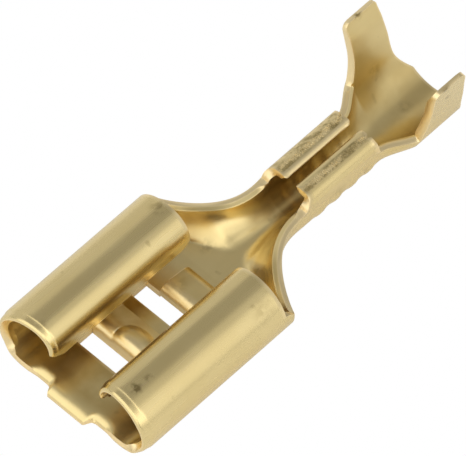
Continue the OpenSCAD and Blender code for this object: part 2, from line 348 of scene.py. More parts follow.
@dataclass
class Receptacle:
    """Floor and two curls that hold the tab."""

    sheet_t: float = 0.36
    length: float = 7.52
    width: float = 7.66
    bend_low_r: float = 1.36
    bend_high_r: float = 1.54
    top_flat: float = 0.1
    hook_r: float = 1.08
    hook_drop: float = 0.36
    edge_corner_r: float = 0.46
    mouth_sweep: float = 5.0
    rim_height: float = 1.75
    window_w: float = 3.28
    bridge_front: float = 2.86
    bridge_len: float = 2.05
    window_len: float = 0.84
    ramp_len: float = 1.48
    bridge_rise: float = 0.38
    ramp_wave: float = 0.035
    nose_bend: float = 0.05
    nose_clear: float = 0.04
    dimple_r: float = 0.7
    dimple_h: float = 0.15
    dimple_x: float = 0.42
    dimple_foot: float = 0.36
    stop_len: float = 1.4
    stop_w: float = 1.9
    stop_rise: float = 0.34
    stop_back: float = 0.2
    stop_dip: float = 0.12
    stop_bend: float = 0.04
    stop_turn: float = 84.0
    stop_step: float = 0.22
    lance_gap: float = 0.012
    lip_reach: float = 0.32
    lip_root: float = 0.22
    floor_z: float = 0.3
    lip_w: float = 1.8
    lip_edge: float = 0.08
    hump_x: float = 0.06
    lead_len: float = 0.42
    lead_depth: float = 0.26
    ring_len: float = 0.45
    ring_step: float = 0.02
    ring_run: float = 0.14
    ring_taper: float = 0.06
    ring_corner: float = 0.13
    section: Section = field(init=False)
    columns: list[float] = field(init=False)
    rim_column: int = field(init=False)
    stations: list[float] = field(init=False)

    def __post_init__(self) -> None:
        """Works out the section, the columns and the stations."""
        self.section = Section(
            (
                flat(self.width / 2 - self.bend_low_r),
                rolled(self.bend_low_r, 90),
                rolled(self.bend_high_r, 90),
                flat(self.top_flat),
                rolled(self.hook_r, 90),
                flat(self.hook_drop),
            )
        )
        lengths = [run.length for run in self.section.runs]
        ends = [sum(lengths[: i + 1]) for i in range(len(lengths))]
        rise = math.asin((self.rim_height - self.bend_low_r) / self.bend_high_r)
        rim = ends[1] + self.bend_high_r * rise
        self.columns = ladder(
            (0.1, 0, self.dimple_r, 0.83, self.lip_w / 2, self.stop_w / 2),
            (0.06, 1.25),
            (0.14, self.window_w / 2, ends[0]),
            (0.1, ends[1], rim - 0.22),
            (0.055, rim),
            (0.1, ends[2], ends[3]),
            (0.085, ends[4], ends[5]),
        )
        self.rim_column = self.nearest(rim)
        ring = [self.ring_len + step for step in (-0.08, -0.04, 0, 0.06)]
        self.stations = ladder(
            (1, 0, 0.02, 0.05, 0.09, 0.13, 0.19, 0.26, 0.34, *ring),
            (0.15, self.window1, self.bridge_front),
            (0.08, self.ramp_foot, self.window2),
            (0.1, self.stop_x, self.stop_end),
            (0.2, self.length),
        )

    @property
    def window1(self) -> float:
        """Front edge of the first window."""
        return self.bridge_front - self.window_len

    @property
    def window2(self) -> float:
        """Front edge of the second window."""
        return self.bridge_front + self.bridge_len

    @property
    def stop_x(self) -> float:
        """Front edge of the tab stop."""
        return self.window2 + self.window_len

    @property
    def stop_end(self) -> float:
        """Rear end of the tab stop."""
        return self.stop_x + self.stop_len

    @property
    def ramp_foot(self) -> float:
        """Foot of the bridge's ramp."""
        return self.bridge_front + self.ramp_len

    def share(self, j: int) -> float:
        """Share of the way from the middle to the rim at which a column lies."""
        return self.columns[abs(j)] / self.columns[self.rim_column]

    def to_rim(self, j: int) -> float:
        """Distance along the sheet from a column to the rim."""
        return self.columns[self.rim_column] - self.columns[abs(j)]

    def front(self, y: float, z: float, at_edge: bool) -> float:
        """Where the front edge of the sheet lies in one column.

        Args:
            y: Width of the column from the middle plane.
            z: Height of the column's outer face.
            at_edge: True on the straight drop of the free edge.

        Returns:
            X of the front edge.
        """
        inward = max(0.0, self.width / 2 - self.sheet_t - y)
        sweep = inward * math.tan(math.radians(self.mouth_sweep))
        if at_edge:
            return sweep + self.corner_cut(z)
        if z > self.bend_low_r:
            return sweep
        if z > self.floor_z:
            return 0.0
        lip = fade(y, self.lip_w / 2 - 0.02, 0.22)
        hump = grow(y, 1.0, 0.3) * fade(y, 1.7, 0.6)
        return -self.lip_reach * lip + self.hump_x * hump

    def corner_cut(self, z: float) -> float:
        """How far the rounded corner of a free edge cuts in at a height."""
        tip = self.section.at(self.section.length)[1]
        rise = z - tip
        if rise >= self.edge_corner_r:
            return 0.0
        r = self.edge_corner_r
        return r - math.sqrt(max(0.0, r * r - (r - rise) ** 2))

    def wall(self, x: float, y: float, z: float) -> float:
        """Thickness of the sheet, coined thin at the lip and at the front of the floor."""
        if z > self.floor_z:
            return self.sheet_t
        lip = fade(y, self.lip_w / 2, 0.3)
        along = clamp((self.lip_root - x) / (self.lip_reach + self.lip_root))
        thin = lip * (self.sheet_t - self.lip_edge) * (1 - math.sqrt(1 - along * along))
        away = clamp(1 - (x - self.hump_x) / self.lead_len)
        lead = (1 - lip) * fade(y, 1.6, 0.5) * (1 - math.sqrt(1 - away * away))
        return self.sheet_t - thin - self.lead_depth * lead

    def ring(self, x: float) -> tuple[float, float]:
        """Shape of the sized ring at the mouth of each curl.

        Args:
            x: Distance behind the mouth.

        Returns:
            How far the outer face draws in, and how much of that is the rounded corner.
        """
        if x >= self.ring_len:
            return 0.0, 0.0
        band = self.ring_taper * clamp(1 - x / (self.ring_len - 0.05))
        step = self.ring_step * fade(x, self.ring_len - self.ring_run, self.ring_run)
        near = clamp(1 - x / self.ring_corner)
        corner = self.ring_corner * (1 - math.sqrt(1 - near * near))
        return band + step + corner, corner

    def place(self, x: float, j: int) -> tuple[Point, float]:
        """Finds a point of the plain receptacle.

        Args:
            x: Station along the terminal.
            j: Column, negative on the right side.

        Returns:
            Its place on the outer face and the thickness there.
        """
        s = self.columns[abs(j)]
        y, z = self.section.at(s)
        drop_from = self.section.length - self.hook_drop - 0.02
        at_edge = s > drop_from
        front = self.front(y, z, at_edge)
        rear = self.corner_cut(z) if at_edge else 0.0
        reach = 1.0
        along = x + front * (1 - clamp(x / reach)) if x < reach else x
        back = self.length - x
        if back < reach:
            along -= rear * (1 - back / reach)
        bent = ease((z - 0.1) / 0.5)
        wall = self.wall(along, y, z)
        shrink, corner = (bent * part for part in self.ring(x))
        if shrink > 0:
            dy, dz = y - self.width / 2 + self.bend_high_r, z - self.bend_low_r
            size = math.hypot(dy, dz)
            y, z = y - shrink * dy / size, z - shrink * dz / size
            wall -= 0.8 * corner
        return (along, math.copysign(y, j), z), wall

    def painted_shade(self, x: float, z: float) -> float:
        """How much painted shade the inner face gets at a place, most on the front floor under the
        curls.
        """
        inner = fade(z, 0.1, 0.7)
        front = fade(x, 3.0, 3.5)
        return mix(0.1, 0.1 + 0.6 * front, inner) * grow(x, 0.05, 0.6)

    def spot(self, _: int, x: float, j: int) -> Spot:
        """Finds the point of the floor and the curls at a station and a column."""
        place, wall = self.place(x, j)
        return Spot(on_sheet(x, j), place, wall, Marks(painted_shade=self.painted_shade(place[0], place[2])))

    def nearest(self, width: float) -> int:
        """Column that lies nearest to a width from the middle."""
        return self.columns.index(min(self.columns, key=lambda s: abs(s - width)))

    def build(self, sheet: SheetMesh) -> None:
        """Adds the floor, the curls, the bridge and the tab stop to the sheet."""
        half_window, half_stop = self.nearest(self.window_w / 2), self.nearest(self.stop_w / 2)

        def kept(n: int, j: int) -> bool:
            middle = (self.stations[n] + self.stations[n + 1]) / 2
            inside = max(abs(j), abs(j + 1))
            in_window = self.window1 < middle < self.stop_x and inside <= half_window
            in_stop = self.stop_x < middle < self.stop_end and inside <= half_stop
            return not (in_window or in_stop)

        sheet.lay(self.stations, len(self.columns) - 1, self.spot, kept)
        self.build_bridge(sheet, half_window)
        self.build_stop(sheet, half_stop)

    def folded_nose(self, fold_x: float, top: float, r: float, turn: float) -> list[Profile]:
        """Profile of a panel's front, from its upright face round a radius to its top.

        Args:
            fold_x: X of the upright face.
            top: Height of the panel over the bend.
            r: Radius of the bend.
            turn: Angle of the bend, in degrees.

        Returns:
            Points of the profile, each as X and height.
        """
        turns = (math.radians(a) for a in spread(0, turn, FOLD_STEPS))
        return [(fold_x + r * (1 - math.cos(a)), top - r + r * math.sin(a)) for a in turns]

    def panel_y(self, j: int, lanced: bool) -> float:
        """Width of a panel's column, a little narrower where it is lanced free."""
        return math.copysign(self.columns[abs(j)] - (self.lance_gap if lanced else 0.0), j)

    def dome(self, x: float, y: float) -> float:
        """Height of the dimple over the bridge at a place."""
        rho = math.hypot(x - self.bridge_front - self.dimple_x, y)
        if rho >= self.dimple_r:
            return 0.0
        crown = 1 - (rho / self.dimple_r) ** 2
        return self.dimple_h * (0.5 * crown + 0.5 * ease((self.dimple_r - rho) / self.dimple_foot))

    def build_bridge(self, sheet: SheetMesh, half: int) -> None:
        """Adds the bridge, folded down at its nose and lanced free along its ramp."""
        r = self.nose_bend
        fold_x = self.bridge_front + self.sheet_t
        path = [(fold_x, z) for z in (0.0, 0.12, 0.22)]
        path += self.folded_nose(fold_x, self.bridge_rise, r, 90)
        for x in self.stations:
            if fold_x + r + self.nose_clear < x <= self.window2 + NEAR:
                down = clamp((x - fold_x) / (self.ramp_foot - fold_x))
                soft = down - self.ramp_wave * math.sin(2 * math.pi * down)
                path.append((x, self.bridge_rise * (1 - clamp(soft))))

        def spot(n: int, at: Profile, j: int) -> Spot:
            x, z = at
            free, edge = x < self.ramp_foot - NEAR, abs(j) == half
            y = self.panel_y(j, edge and free)
            lift = self.dome(max(x, fold_x), y) * ease(z / 0.3)
            # painted shade on the bridge, darker towards the left curl; painted highlight on the
            # front face of its folded nose
            dark = (0.3 + 0.7 * ease(y / 0.8)) * grow(x, fold_x + 0.1, 0.2)
            marks = Marks(0.6 * fade(x, fold_x + r, 0.05), 0.0, dark)
            name = on_sheet(x, j) if edge and not free else ("bridge", n, j)
            return Spot(name, (x, y, z + lift), None, marks)

        sheet.lay(path, half, spot)

    def build_stop(self, sheet: SheetMesh, half: int) -> None:
        """Adds the tab stop, a panel pressed up and bent down at its front."""
        r = self.stop_bend
        fold_x = self.stop_x + self.sheet_t
        path = [(fold_x, z) for z in (self.stop_dip, self.stop_dip + 0.08)]
        path += self.folded_nose(fold_x, self.stop_rise, r, self.stop_turn)
        step_x = self.stop_end - self.stop_step
        for x in self.stations:
            if fold_x + r + self.nose_clear < x < step_x - 0.03:
                down = (x - fold_x) / (step_x - fold_x)
                path.append((x, mix(self.stop_rise, self.stop_back, down)))
        for u in spread(0, 1, FOLD_STEPS):
            path.append((mix(step_x, self.stop_end, u), self.stop_back * (1 - ease(u))))

        def spot(n: int, at: Profile, j: int) -> Spot:
            x, z = at
            joined = n == len(path) - 1
            y = self.panel_y(j, abs(j) == half and not joined)
            # painted highlight on the front face of the folded nose, and painted shade darker
            # towards the left curl
            marks = Marks(0.6 * fade(x, fold_x + r, 0.05), 0.0, 0.3 + 0.65 * ease(y / 0.9))
            name = on_sheet(self.stop_end, j) if joined else ("stop", n, j)
            return Spot(name, (x, y, z), None, marks)

        sheet.lay(path, half, spot)


@dataclass
class Throat:
    """Open trough that narrows from the receptacle to the wire barrel."""

    front: Receptacle
    shoulder_len: float = 0.42
    length: float = 3.46
    sweep: float = 2.5
    waist: float = 0.04
    bowl_swell: float = 0.9
    bowl_lead: float = 1.25
    softness: float = 0.7
    rim_t: float = 0.17
    rim_z: float = 1.45
    front_rim: float = 1.73
    wing_run: float = 2.9
    wing_curve: float = 1.3
    rim_lift: float = 0.3
    lift_run: float = 0.9
    barrel_r: float = 1.16
    rib_h: float = 0.05

    @property
    def start(self) -> float:
        """X where the curls end."""
        return self.front.length

    @property
    def end(self) -> float:
        """X where the wire barrel begins."""
        return self.start + self.shoulder_len + self.length

    def rim(self, x: float) -> float:
        """Height of the rim at a station."""
        lift = self.rim_lift * max(0.0, 1 - (x - self.start) / self.lift_run) ** 2
        rise = max(0.0, 1 - (self.end - x) / self.wing_run) ** self.wing_curve
        return self.rim_z + lift + (self.front_rim - self.rim_z) * rise

    def bend(self, u: float, half: float, rise: float) -> float:
        """Bend radius, which swells into a bowl but never past the rim.

        Args:
            u: Share of the way from the shoulder to the barrel.
            half: Half width at the rim.
            rise: Height of the rim over the underside.

        Returns:
            Outer radius of the bend.
        """
        widest = (half * half + rise * rise) / (2 * rise) if rise < half else half
        swell = self.bowl_swell * math.sin(math.pi * min(1.0, self.bowl_lead * u))
        return min(mix(self.front.bend_low_r, self.barrel_r, u) + swell, widest)

    def section(self, x: float) -> Section:
        """Section of the trough at a station."""
        u = clamp((x - self.start - self.shoulder_len) / self.length)
        half = self.barrel_r - self.waist * math.sin(math.pi * u**1.5)
        half += (self.front.width / 2 - self.barrel_r) * (1 - u) ** self.sweep
        foot = self.rib_h * u
        rise = self.rim(x) - foot
        r = self.bend(u, half, rise)
        lean = math.asin(max(0.0, 1 - rise / r))
        floor = max(0.0, half - r * math.cos(lean))
        runs = (flat(floor), rolled(r, 90 - math.degrees(lean)), flat(max(0.0, rise - r)))
        return Section(runs, foot)

    def place(self, x: float, j: int) -> Point:
        """Finds a point of the trough's outer face, its bends softened along the section."""
        section = self.section(x)
        s = self.front.share(j) * section.length
        soft = self.softness * math.sin(math.pi * clamp((x - self.start) / (self.end - self.start)))
        soft *= ease((section.length - s - 0.3) / 1.2)
        soft = min(soft, s, section.length - s)
        near = [section.at(s + soft * share) for share in (-1, -0.5, 0, 0.5, 1)]
        y, z = (sum(values) / len(near) for values in zip(*near))
        settle = grow(x, self.start, self.shoulder_len)
        if settle < 1:
            y0, z0 = self.front.section.at(self.front.columns[abs(j)])
            y, z = mix(y0, y, settle), mix(z0, z, settle)
        return x, math.copysign(y, j), z

    def spot(self, _: int, x: float, j: int) -> Spot:
        """Point at a station and a column, drawn thin and battered at the open rims, with painted
        shade on the floor behind the curls and towards the barrel.
        """
        left = self.front.to_rim(j)
        open_rim = grow(x, self.start, 0.3) * fade(x, self.end - 0.5, 0.5)
        thin = (self.front.sheet_t - self.rim_t) * open_rim * fade(left, 0, RIM_RUN)
        battered = grow(x, self.end - 0.7, 0.6) * fade(left, 0, 0.35)
        # painted shade behind the curls (corner) and into the barrel (tunnel)
        corner = fade(x, self.start + 0.6, 1.6) * fade(left, 0.9, 1.2)
        tunnel = grow(x, self.end - 0.8, 0.8)
        marks = Marks(0.7 * battered, 0.9 * battered, max(0.9 * corner, 0.4 * tunnel))
        return Spot(on_sheet(x, j), self.place(x, j), self.front.sheet_t - thin, marks)

    def build(self, sheet: SheetMesh) -> None:
        """Adds the trough to the sheet."""
        stations = ladder((0.12, self.start, self.start + self.shoulder_len, self.end))
        sheet.lay(stations, self.front.rim_column, self.spot)


@dataclass
class ConductorBarrel:
    """Folded barrel for the bared wire, with two wings that end in flattened strips."""

    throat: Throat
    length: float = 4.1
    height: float = 2.3
    fold_r: float = 0.46
    wing_gap: float = 0.44
    strip_t: float = 0.26
    front_slant: float = 0.35
    rear_slant: float = 0.2
    lip_r: float = 0.24
    lip_turn: float = 62.0
    nip: float = 0.12
    notch: float = 0.17
    notch_y: float = 0.7
    notch_half: float = 0.1
    nip_depth: float = 1.2
    rear_curve: float = 0.7
    wing_columns: int = 26
    rows: int = 40

    @property
    def start(self) -> float:
        """X where the barrel begins."""
        return self.throat.end

    @property
    def end(self) -> float:
        """X where the barrel ends."""
        return self.start + self.length

    @property
    def section(self) -> Section:
        """Section of the barrel: bottom, wall, fold, strip and curled edge."""
        r, foot = self.throat.barrel_r, self.throat.rib_h
        wall = self.height - self.fold_r - r - foot
        turn = math.radians(self.lip_turn)
        strip = r - self.fold_r - self.wing_gap / 2 - self.lip_r * math.sin(turn)
        fold, lip = rolled(self.fold_r, 90), rolled(self.lip_r, self.lip_turn)
        return Section((rolled(r, 90), flat(wall), fold, flat(strip), lip), foot)

    def rim_distance(self, x: float) -> float:
        """Distance along the half section to the line that goes on from the rims."""
        t = (x - self.start) / self.length
        z = mix(self.throat.front_rim, self.throat.rim_z, t)
        r = self.throat.barrel_r
        return r * math.pi / 2 + z - r - self.throat.rib_h

    def front_at(self, y: float, z: float) -> float:
        """Front edge of a wing at a point of its section."""
        climb = clamp((z - self.throat.front_rim) / (self.height - self.throat.front_rim))
        return self.start + self.front_slant * climb + self.nipped(y)

    def rear_at(self, y: float, z: float) -> float:
        """Rear edge of a wing at a point of its section."""
        climb = clamp((z - self.throat.rim_z) / (self.height - self.throat.rim_z))
        notch = self.notch * max(0.0, 1 - abs(y - self.notch_y) / self.notch_half) * climb
        return self.end - self.rear_slant * climb**self.rear_curve - self.nipped(y) - notch

    def nipped(self, y: float) -> float:
        """How far the corner at the curled edge is cut back."""
        return self.nip_depth * max(0.0, self.nip - (y - self.wing_gap / 2)) ** 2 / self.nip

    def marks(self, t: float, left: float, side: int) -> Marks:
        """Marks of a wing.

        Args:
            t: Share of the way from its front edge to its rear edge.
            left: Distance to the curled edge.
            side: Above 0 on the left wing, whose curled edge gets the stronger painted highlight.

        Returns:
            A curled edge with painted highlight split by a painted dark line, a coined band,
            battered ends and painted shade on the inner face.
        """
        arc = self.section.runs[-1].length
        # painted highlight on the curled edge, stronger on the left wing, with a painted dark line
        # down its middle
        bright, band, run = (1.0, 0.45, 0.5) if side > 0 else (0.35, 0.3, 0.12)
        line = 0.7 * math.exp(-(((left - 0.5 * arc) / 0.03) ** 2))
        wear_and_highlight = fade(left, arc - 0.01, 0.05) * (1 - line)
        coined = grow(left, arc, 0.05) * fade(left, arc + band, run)
        tip = max(fade(t, 0, 0.07), grow(t, 0.93, 0.05))
        return Marks(max(bright * wear_and_highlight, 0.8 * tip), max(coined, tip), 0.9)

    def spot(self, n: int, t: float, j: int) -> Spot:
        """Point of the barrel's trough or of one of its wings."""
        x = mix(self.start, self.end, t)
        section, reach = self.section, self.rim_distance(x)
        above = abs(j) - self.throat.front.rim_column
        if above <= 0:
            y, z = section.at(self.throat.front.share(j) * reach)
            # the trough under the wings gets painted shade
            return Spot(on_sheet(x, j), (x, math.copysign(y, j), z), None, Marks(painted_shade=0.7))
        s = mix(reach, section.length, above / self.wing_columns)
        left = section.length - s
        y, z = section.at(s)
        x = mix(self.front_at(y, z), self.rear_at(y, z), t)
        wall = mix(self.strip_t, self.throat.front.sheet_t, ease(left / 0.75))
        place = (x, math.copysign(y, j), z)
        return Spot(("wing", n, j), place, wall, self.marks(t, left, j))

    def build(self, sheet: SheetMesh) -> None:
        """Adds the barrel to the sheet."""
        half = self.throat.front.rim_column + self.wing_columns
        sheet.lay(spread(0, 1, self.rows), half, self.spot)


@dataclass
class Flare:
    """Short trough that opens from the barrel to the insulation grip."""

    barrel: ConductorBarrel
    length: float = 1.3
    curve: float = 2.0
    rise: float = 0.1
    rim_t: float = 0.26
    grip_r: float = 1.95
    lean: float = 9.0
    extra_left: float = 5.0
    extra_right: float = -2.5

    def turned(self, side: float) -> float:
        """Lean of the wall on the left side, above 0, or on the right side."""
        return self.lean + (self.extra_left if side > 0 else self.extra_right)

    @property
    def start(self) -> float:
        """X where the flare begins."""
        return self.barrel.end

    @property
    def end(self) -> float:
        """X where the grip begins."""
        return self.start + self.length

    def section(self, x: float, side: float) -> Section:
        """Section of the flare at a station, on the left or the right side."""
        u = clamp((x - self.start) / self.length)
        e = u**self.curve * (self.curve - (self.curve - 1) * u)
        throat = self.barrel.throat
        r = mix(throat.barrel_r, self.grip_r, e)
        lean = self.turned(side) * e
        foot = throat.rib_h * (1 - e)
        rim = throat.rim_z + self.rise * e
        bend_top = foot + r - r * math.sin(math.radians(lean))
        wall = (rim - bend_top) / math.cos(math.radians(lean))
        if wall >= 0:
            return Section((rolled(r, 90 - lean), flat(wall)), foot)
        turn = math.degrees(math.acos(clamp(1 - (rim - foot) / r, -1, 1)))
        return Section((rolled(r, turn),), foot)

    def spot(self, _: int, x: float, j: int) -> Spot:
        """Point of the flare at a station and a column."""
        front = self.barrel.throat.front
        section = self.section(x, j)
        y, z = section.at(front.share(j) * section.length)
        wall = mix(self.rim_t, front.sheet_t, ease(front.to_rim(j) / RIM_RUN))
        # painted shade, darker towards the bottom of the trough
        marks = Marks(painted_shade=0.45 * fade(abs(j) / front.rim_column, 0.4, 0.3))
        return Spot(on_sheet(x, j), (x, math.copysign(y, j), z), wall, marks)

    def build(self, sheet: SheetMesh) -> None:
        """Adds the flare to the sheet."""
        stations = ladder((0.09, self.start, self.end))
        sheet.lay(stations, self.barrel.throat.front.rim_column, self.spot)


@dataclass
class InsulationGrip:
    """Open grip with two tall wings that are crimped round the insulation."""

    flare: Flare
    length: float = 2.8
    wing_h: float = 4.35
    wing_front: float = 0.4
    wing_rear: float = 0.6
    tip_front: float = 0.3
    tip_left: float = 0.14
    tip_right: float = 0.42
    tip_t: float = 0.19
    heel_h: float = 0.4
    front_climb: float = 0.35
    rear_climb: float = 0.49
    rear_lean: float = 0.12
    row_bias: float = 1.35
    wing_columns: int = 24
    rows: int = 24

    @property
    def start(self) -> float:
        """X where the grip begins."""
        return self.flare.end

    @property
    def end(self) -> float:
        """X of the rear end."""
        return self.start + self.length

    def front_at(self, z: float) -> float:
        """Front edge of a wing at a height."""
        rim = self.flare.barrel.throat.rim_z + self.flare.rise
        t = clamp((z - rim) / (self.front_climb * self.wing_h))
        x = self.start + self.wing_front * (1 - (1 - t) ** 2)
        return x + self.corner(z, self.tip_front)

    def rear_at(self, z: float, side: float) -> float:
        """Rear edge of the left or the right wing at a height."""
        t = clamp((z - self.heel_h) / (self.rear_climb * self.wing_h))
        x = self.end - self.wing_rear * (1 - (1 - t) ** 3) - self.rear_lean * grow(z, 2.4, 1.6)
        return x - self.corner(z, self.tip_left if side > 0 else self.tip_right)

    def corner(self, z: float, size: float) -> float:
        """How far a rounded tip corner cuts in at a height."""
        below = self.wing_h - z
        if below >= size:
            return 0.0
        return size - math.sqrt(max(0.0, size * size - (size - below) ** 2))

    def wing(self, side: int) -> tuple[Section, float]:
        """Section of the left or the right half, and how much its tilted tip adds in height."""
        degrees, r = self.flare.turned(side), self.flare.grip_r
        lean = math.radians(degrees)
        tilt = self.tip_t * math.sin(lean)
        top = (self.wing_h - tilt - (r - r * math.sin(lean))) / math.cos(lean)
        return Section((rolled(r, 90 - degrees), flat(top))), tilt

    def spot(self, n: int, t: float, j: int) -> Spot:
        """Point of the grip, t being the share of the way from its front to its rear."""
        front = self.flare.barrel.throat.front
        section, tilt = self.wing(j)
        rim_s = self.flare.section(self.start, j).length
        above = (abs(j) - front.rim_column) / self.wing_columns
        if above <= 0:
            s, tilt, low = front.share(j) * rim_s, 0.0, self.start
            y, z = section.at(s)
        else:
            s = mix(rim_s, section.length, 1 - (1 - above) ** self.row_bias)
            y, z = section.at(s)
            low = self.front_at(z + tilt)
        x = mix(low, self.rear_at(z + tilt, j), t)
        joined = n == 0 and above <= 0
        name = on_sheet(self.start, j) if joined else ("grip", n, j)
        wall = mix(self.tip_t, front.sheet_t, ease((section.length - s) / 0.8))
        # painted shade, darker towards the bottom inside the grip
        marks = Marks(painted_shade=0.1 + 0.35 * fade(z, 0.4, 1.2))
        return Spot(name, (x, math.copysign(y, j), z), wall, marks)

    def build(self, sheet: SheetMesh) -> None:
        """Adds the grip to the sheet."""
        half = self.flare.barrel.throat.front.rim_column + self.wing_columns
        sheet.lay(spread(0, 1, self.rows), half, self.spot)


# ---- node trees ----


class NodeTree:
    """Short hand for building a node tree."""

    def __init__(self, tree: bpy.types.NodeTree) -> None:
        """Works on an empty tree."""
        self.tree = tree

    def add(
        self, kind: str, inputs: dict[str | int, Source] | None = None, **settings: object
    ) -> bpy.types.Node:
        """Adds a node.

        Args:
            kind: Type name of the node.
            inputs: What feeds each input, by the input's name or number.
            settings: Properties of the node to set.

        Returns:
            The new node.
        """
        node = self.tree.nodes.new(kind)
        for name, value in settings.items():
            setattr(node, name, value)
        for label, source in (inputs or {}).items():
            self.join(source, node.inputs[label])
        return node

    def join(self, source: Source, target: bpy.types.NodeSocket) -> None:
        """Links a socket, or a node's first output, to an input, or sets it to a plain value."""
        if isinstance(source, bpy.types.Node):
            source = source.outputs[0]
        if isinstance(source, bpy.types.NodeSocket):
            self.tree.links.new(source, target)
        else:
            target.default_value = source

    def math(self, operation: str, *values: Source) -> Source:
        """Adds a Math node on up to three values and returns its result."""
        return self.add("ShaderNodeMath", dict(enumerate(values)), operation=operation).outputs[0]

    def times(self, a: Source, b: Source, plus: Source | None = None) -> Source:
        """Product of two values, with a third one added where it is given."""
        if plus is None:
            return self.math("MULTIPLY", a, b)
        return self.math("MULTIPLY_ADD", a, b, plus)

    def minus(self, a: Source, b: Source) -> Source:
        """Difference of two values."""
        return self.math("SUBTRACT", a, b)

    def vector(self, operation: str, inputs: dict[str | int, Source]) -> bpy.types.Node:
        """Adds a Vector Math node."""
        return self.add("ShaderNodeVectorMath", inputs, operation=operation)

    def noise(self, place: Source, scale: float, detail: float) -> Source:
        """Adds a noise texture and returns its value."""
        inputs = {"Vector": place, "Scale": scale, "Detail": detail}
        return self.add("ShaderNodeTexNoise", inputs).outputs["Fac"]

    def blend(self, share: Source, first: Source, second: Source) -> Source:
        """Adds a colour mix from the first to the second colour and returns its result."""
        pair = ((*c, 1) if isinstance(c, tuple) else c for c in (first, second))
        inputs = dict(zip((0, 6, 7), (share, *pair)))
        return self.add("ShaderNodeMix", inputs, data_type="RGBA").outputs[2]

    def step(self, value: Source, low: float, high: float) -> Source:
        """Adds a smooth step from 0 at low to 1 at high and returns its result."""
        inputs = {"Value": value, "From Min": low, "From Max": high}
        node = self.add("ShaderNodeMapRange", inputs, interpolation_type="SMOOTHSTEP")
        return node.outputs["Result"]


# ---- geometry nodes ----


def node_group(
    name: str, kind: str, ways: dict[str, object], results: dict[str, str]
) -> tuple[NodeTree, Sockets, Sockets]:
    """Starts a node group.

    Args:
        name: Name of the group.
        kind: Type name of its tree.
        ways: Type name of each input, or its standard value where it is a number.
        results: Type name of each output.

    Returns:
        The group's short hand, the sockets of its inputs and those of its results.
    """
    tree = bpy.data.node_groups.new(name, kind)
    for way, labels in (("INPUT", ways), ("OUTPUT", results)):
        for label, value in labels.items():
            plain = not isinstance(value, str)
            kind = "NodeSocket" + ("Float" if plain else value)
            socket = tree.interface.new_socket(label, in_out=way, socket_type=kind)
            if plain:
                socket.default_value = value
    net = NodeTree(tree)
    return net, net.add("NodeGroupInput").outputs, net.add("NodeGroupOutput").inputs


def geometry_tree(name: str, sizes: dict[str, float]) -> tuple[NodeTree, Sockets, Sockets]:
    """Starts a Geometry Nodes tree with a geometry, named sizes and a finish as its inputs."""
    ways = {"Geometry": "Geometry", **sizes, "Finish": "Material"}
    return node_group(name, "GeometryNodeTree", ways, {"Geometry": "Geometry"})


def close_tree(
    net: NodeTree, ways: Sockets, out: Sockets, geometry: Source
) -> bpy.types.NodeTree:
    """Ends a tree in Realize Instances and Set Material, and returns the tree."""
    real = net.add("GeometryNodeRealizeInstances", {"Geometry": geometry})
    painted = net.add("GeometryNodeSetMaterial", {"Geometry": real, "Material": ways["Finish"]})
    net.join(painted, out[0])
    return net.tree


def rib_press() -> bpy.types.NodeTree:
    """Tree that presses evenly spaced ribs out of the lower half of the barrel."""
    sizes = {"Count": 4, "Pitch": 0.88, "Middle": 13.6, "Width": 0.42, "Height": 0.05, "Axis": 1.21}
    net, ways, out = geometry_tree("press_ribs", sizes)
    pitch, axis = ways["Pitch"], ways["Axis"]
    place = net.add("ShaderNodeSeparateXYZ", {0: net.add("GeometryNodeInputPosition")}).outputs
    last = net.minus(ways["Count"], 1.0)
    first = net.minus(ways["Middle"], net.times(net.times(last, 0.5), pitch))
    turns = net.math("DIVIDE", net.minus(place[0], first), pitch)
    nearest = net.math("MINIMUM", net.math("MAXIMUM", net.math("ROUND", turns), 0.0), last)
    away = net.times(net.math("ABSOLUTE", net.minus(turns, nearest)), pitch)
    near = net.minus(1.0, net.math("DIVIDE", away, net.times(ways["Width"], 0.72)))
    near = net.math("MAXIMUM", near, 0.0)
    bell = net.math("SMOOTH_MIN", net.times(near, 1.7), 1.0, 0.4)
    below = net.math("DIVIDE", net.minus(axis, place[2]), 0.35)
    below = net.math("MINIMUM", net.math("MAXIMUM", below, 0.0), 1.0)
    lift = net.times(net.times(bell, below), ways["Height"])
    spoke = net.add("ShaderNodeCombineXYZ", {1: place[1], 2: net.minus(place[2], axis)})
    push = net.vector("SCALE", {0: net.vector("NORMALIZE", {0: spoke}), "Scale": lift})
    inputs = {"Geometry": ways["Geometry"], "Offset": push}
    return close_tree(net, ways, out, net.add("GeometryNodeSetPosition", inputs))


def strip_marks() -> bpy.types.NodeTree:
    """Tree that strikes small raised coining marks on the points of a strip."""
    net, ways, out = geometry_tree("strip_marks", {"Size": 0.06, "Height": 0.02, "Seed": 4})
    ball = net.add("GeometryNodeMeshUVSphere", {"Segments": 6, "Rings": 4, "Radius": 1.0})
    bead = net.add("GeometryNodeSetShadeSmooth", {"Geometry": ball})
    lot = {"Min": 0.55, "Max": 1.35, "Seed": ways["Seed"]}
    grown = net.add("FunctionNodeRandomValue", lot, data_type="FLOAT").outputs["Value"]
    wide = net.times(ways["Size"], grown)
    size = {0: net.times(wide, 1.5), 1: wide, 2: ways["Height"]}
    lot = {"Min": (-0.25, -0.25, -0.6), "Max": (0.25, 0.25, 0.6), "Seed": ways["Seed"]}
    turn = net.add("FunctionNodeRandomValue", lot, data_type="FLOAT_VECTOR").outputs["Value"]
    inputs = {
        "Points": ways["Geometry"],
        "Instance": bead,
        "Rotation": net.add("FunctionNodeEulerToRotation", {0: turn}),
        "Scale": net.add("ShaderNodeCombineXYZ", size),
    }
    return close_tree(net, ways, out, net.add("GeometryNodeInstanceOnPoints", inputs))


def placed(name: str, data: object) -> bpy.types.Object:
    """Adds an object to the scene."""
    made = bpy.data.objects.new(name, data)
    bpy.context.scene.collection.objects.link(made)
    return made


